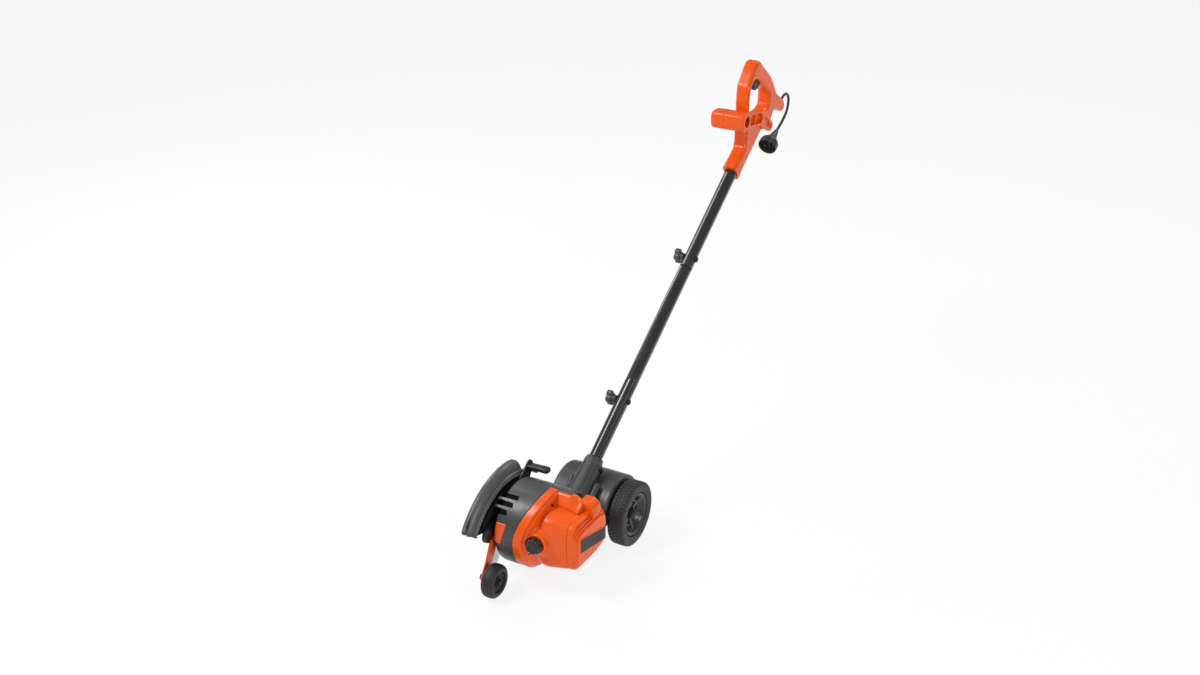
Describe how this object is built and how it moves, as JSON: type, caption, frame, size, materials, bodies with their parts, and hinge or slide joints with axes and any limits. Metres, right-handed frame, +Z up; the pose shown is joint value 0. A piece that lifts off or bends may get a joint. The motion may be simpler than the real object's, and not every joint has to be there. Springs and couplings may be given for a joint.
{
  "type": "electric lawn edger",
  "caption": "Corded walk-behind lawn edger: motor head with a hooded blade and depth lever, wheeled deck, jointed pole and D-handle with a front grip.",
  "frame": {"origin": "bottom centre of the edger's box, cord and plug left out, on the ground", "axes": "+Z up, the edger travels towards -Y, blade on the -X side, motor on the +X side"},
  "size_m": [0.2194, 1.2973, 0.8471],
  "materials": {
    "orange": "satin moulded orange plastic",
    "orange_steel": "orange painted steel strip",
    "dark": "fine-grained charcoal plastic",
    "hood": "grained charcoal plastic",
    "black": "matt black plastic",
    "cord": "matt black sheath",
    "tyre": "black moulded tread",
    "tube": "glossy black coating",
    "cast": "die cast",
    "steel": "zinc plated or ground steel",
    "copper": "enamelled copper wire and bars",
    "brass": "bare brass"
  },
  "bodies": {
    "body": {"aux_bolt": "steel", "aux_handle": "orange", "blade_guard": "hood", "brush_lower": "brass", "brush_upper": "brass", "cord_gland": "cord", "end_panel": "black", "gear_housing": "dark", "gearcase_plate": "cast", "handle_left": "orange", "handle_right": "orange", "left_axle_cap": "steel", "lower_bolt": "steel", "lower_tube": "tube", "middle_tube": "tube", "motor_bearing_front": "steel", "motor_bearing_rear": "steel", "motor_cover": "orange", "motor_end_cap": "orange", "plug_blade_left": "brass", "plug_blade_right": "brass", "plug_body": "black", "power_cord": "cord", "rear_axle": "steel", "rear_deck": "dark", "right_axle_cap": "steel", "spindle_bearing_inner": "steel", "spindle_bearing_outer": "steel", "stator": "steel", "switch_body": "black", "trigger_spring": "steel", "upper_bolt": "steel", "upper_tube": "tube"},
    "left_wheel": {"left_tyre": "tyre", "left_hub": "black"},
    "right_wheel": {"right_tyre": "tyre", "right_hub": "black"},
    "depth_arm": {"depth_lever": "black", "wheel_bracket": "orange_steel", "front_wheel_bolt": "steel", "front_wheel_nut": "steel"},
    "front_wheel": {"front_wheel": "tyre"},
    "spindle": {"blade": "steel", "inner_flange": "steel", "outer_flange": "steel", "blade_nut": "steel", "output_spindle": "steel", "drive_gear": "steel"},
    "armature": {"armature_shaft": "steel", "armature_core": "steel", "winding_front": "copper", "winding_rear": "copper", "commutator": "copper", "cooling_fan": "black"},
    "clamp_knob": {"clamp_knob": "black"},
    "lower_knob": {"lower_knob": "black"},
    "upper_knob": {"upper_knob": "black"},
    "trigger": {"trigger": "black"}
  },
  "joints": [
    {"name": "left_wheel_spin", "type": "hinge", "parent": "body", "child": "left_wheel", "pos_m": [-0.0481, -0.28585, 0.07], "axis": [1, 0, 0], "continuous": true},
    {"name": "right_wheel_spin", "type": "hinge", "parent": "body", "child": "right_wheel", "pos_m": [0.0927, -0.28585, 0.07], "axis": [1, 0, 0], "continuous": true},
    {"name": "depth_set", "type": "hinge", "parent": "body", "child": "depth_arm", "pos_m": [-0.0797, -0.48985, 0.103], "axis": [1, 0, 0], "range_deg": [-24, 0]},
    {"name": "front_wheel_spin", "type": "hinge", "parent": "depth_arm", "child": "front_wheel", "pos_m": [-0.0497, -0.58885, 0.0353], "axis": [1, 0, 0], "continuous": true},
    {"name": "blade_spin", "type": "hinge", "parent": "body", "child": "spindle", "pos_m": [-0.0957, -0.48985, 0.103], "axis": [1, 0, 0], "continuous": true},
    {"name": "motor_spin", "type": "hinge", "parent": "body", "child": "armature", "pos_m": [0.0223, -0.46385, 0.1199], "axis": [1, 0, 0], "continuous": true},
    {"name": "clamp_knob_turn", "type": "hinge", "parent": "body", "child": "clamp_knob", "pos_m": [0.021, -0.54435, 0.1187], "axis": [0, -1, 0], "range_deg": [0, 360]},
    {"name": "lower_knob_turn", "type": "hinge", "parent": "body", "child": "lower_knob", "pos_m": [0.0086, -0.16689, 0.25755], "axis": [-1, 0, 0], "range_deg": [0, 360]},
    {"name": "upper_knob_turn", "type": "hinge", "parent": "body", "child": "upper_knob", "pos_m": [0.0086, 0.14455, 0.47], "axis": [-1, 0, 0], "range_deg": [0, 360]},
    {"name": "trigger_pull", "type": "hinge", "parent": "body", "child": "trigger", "pos_m": [0.0086, 0.41815, 0.8195], "axis": [1, 0, 0], "range_deg": [0, 8], "stiffness_Nm_per_rad": 2, "springref_deg": -11.46, "deforming": ["trigger_spring"]}
  ],
  "couplings": [
    {"joint": "motor_spin", "follows": "blade_spin", "ratio": -4}
  ]
}
